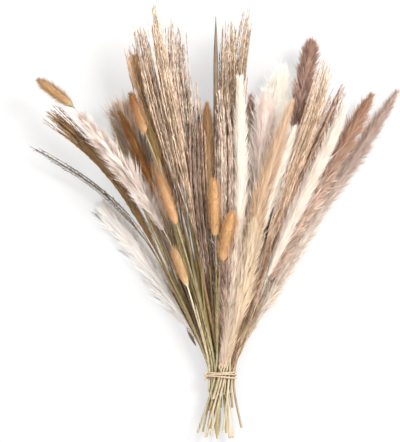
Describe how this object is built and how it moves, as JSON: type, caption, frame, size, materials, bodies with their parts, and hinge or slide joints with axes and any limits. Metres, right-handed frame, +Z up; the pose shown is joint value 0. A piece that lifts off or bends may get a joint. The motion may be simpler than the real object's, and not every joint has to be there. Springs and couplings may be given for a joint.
{
  "type": "dried grass bouquet",
  "caption": "Tied bunch of dried pampas-type plumes, reed sprays, bunny tails and foxtails, lying flat with its heads fanned out and its cut stems below a jute twine tie.",
  "frame": {"origin": "middle of the underside of the whole bunch, on the surface it lies on", "axes": "+Y from the cut stems towards the heads, +X to the right seen from above with the heads up, +Z up from the surface"},
  "size_m": [0.3816, 0.448, 0.0798],
  "materials": {
    "bunny_tail_honey": "matte dried grass",
    "reed_umber": "matte dried grass",
    "plume_blush": "matte dried grass",
    "plume_ivory": "matte dried grass",
    "plume_taupe": "matte dried grass",
    "foxtail_caramel": "matte dried grass",
    "foxtail_olive": "matte dried grass",
    "foxtail_tan": "matte dried grass",
    "reed_wheat": "matte dried grass",
    "reed_grey": "matte dried grass",
    "reed_taupe": "matte dried grass",
    "blade_umber": "matte dried grass",
    "reed_sand": "matte dried grass",
    "plume_russet": "matte dried grass",
    "plume_cream": "matte dried grass",
    "plume_lilac": "matte dried grass",
    "plume_mauve": "matte dried grass",
    "plume_tan": "matte dried grass",
    "plume_sand": "matte dried grass",
    "blade_olive": "matte dried grass",
    "jute_twine": "matte twisted fibre"
  },
  "bodies": {
    "root": {"bunny_tail_far_left": "bunny_tail_honey", "reed_brown_left": "reed_umber", "twig_grass_left": "reed_umber", "plume_blush_left": "plume_blush", "plume_white_low_left": "plume_ivory", "plume_taupe_left": "plume_taupe", "foxtail_caramel": "foxtail_caramel", "bunny_tail_upper_left": "bunny_tail_honey", "foxtail_olive": "foxtail_olive", "bunny_tail_middle_left": "bunny_tail_honey", "foxtail_soft_tan": "foxtail_tan", "reed_top_left_a": "reed_wheat", "reed_top_left_b": "reed_wheat", "reed_top_left_c": "reed_wheat", "reed_top_left_d": "reed_grey", "reed_top_left_e": "reed_umber", "reed_grey_centre": "reed_grey", "reed_taupe_centre": "reed_taupe", "blade_dark": "blade_umber", "foxtail_central_tan": "foxtail_tan", "reed_top_centre_a": "reed_wheat", "reed_top_centre_b": "reed_wheat", "reed_top_centre_c": "reed_wheat", "reed_broad_centre": "reed_sand", "plume_white_centre": "plume_ivory", "plume_russet_centre": "plume_russet", "plume_cream_back": "plume_cream", "plume_lilac_back": "plume_lilac", "plume_mauve_top_right": "plume_mauve", "plume_tan_big": "plume_tan", "plume_white_narrow": "plume_ivory", "plume_white_right": "plume_ivory", "plume_brown_right": "plume_mauve", "plume_mauve_right_edge": "plume_sand", "reed_gold_right": "reed_wheat", "reed_brown_right": "reed_umber", "reed_low_right": "reed_umber", "bunny_tail_centre": "bunny_tail_honey", "bunny_tail_centre_right": "bunny_tail_honey", "bunny_tail_low_left": "bunny_tail_honey", "plume_mauve_low_centre": "plume_mauve", "plume_tan_low_centre": "plume_sand", "plume_tan_low_right": "plume_sand", "stem_with_leaf_sheath": "blade_olive", "twine_tie": "jute_twine"}
  },
  "joints": []
}
